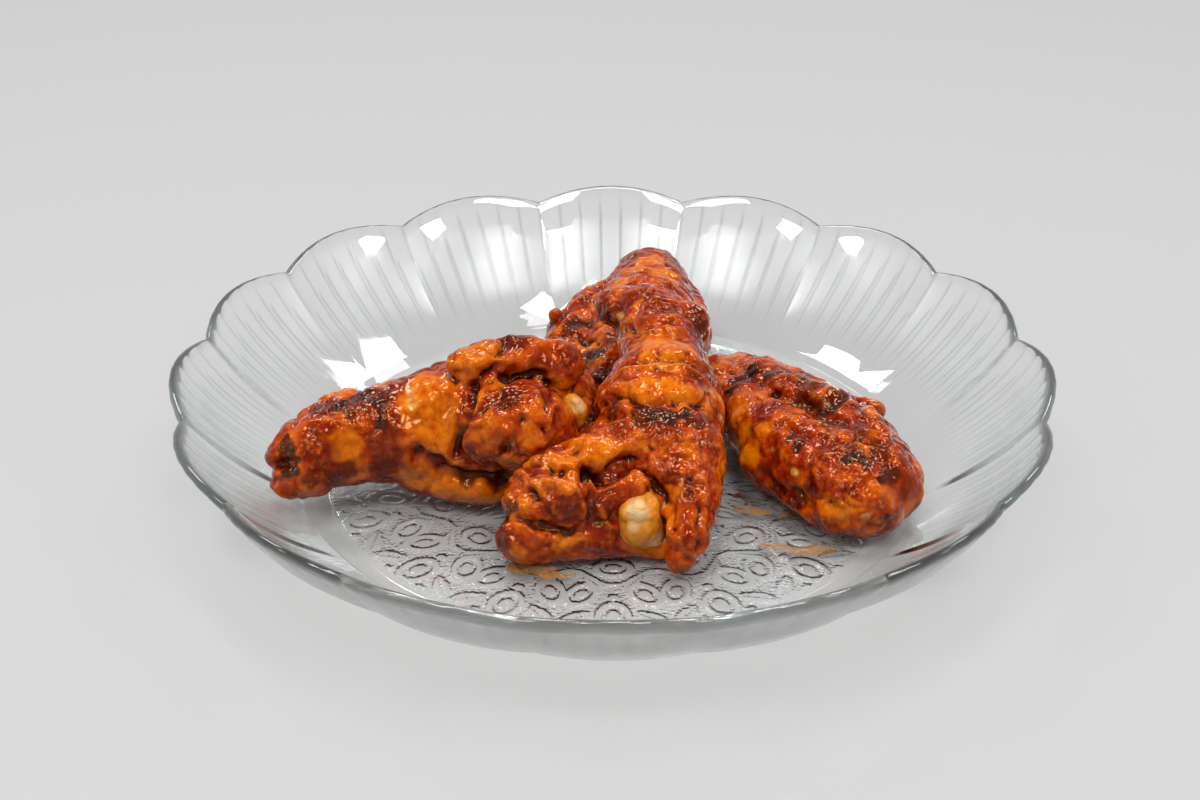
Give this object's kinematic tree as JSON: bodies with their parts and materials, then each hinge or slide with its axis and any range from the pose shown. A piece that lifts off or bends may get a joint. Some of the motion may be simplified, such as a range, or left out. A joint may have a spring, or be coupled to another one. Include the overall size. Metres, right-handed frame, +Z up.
{
  "type": "chicken wings serving",
  "caption": "Glazed chicken wings piled in a shallow round pressed-glass plate with a scalloped, fluted rim; a plated main dish that stands on its foot.",
  "frame": {"origin": "centre of the plate's foot, on the table", "axes": "+Z up; the eater sits on the -Y side, facing +Y; +X to the eater's right"},
  "size_m": [0.25, 0.25, 0.0497],
  "materials": {
    "plate_glass": "clear pressed glass, faintly green in its thickness, smooth and glossy",
    "glazed_meat": "roasted chicken skin under a glossy orange-brown sauce, charred in spots",
    "bone": "bare bone and cartilage, cream to yellow, wet with sauce"
  },
  "bodies": {
    "root": {"plate": "plate_glass", "left_wing": "glazed_meat", "front_wing": "glazed_meat", "back_wing": "glazed_meat", "right_wing": "glazed_meat", "front_wing_bone": "bone", "left_wing_bone": "bone"}
  },
  "joints": []
}
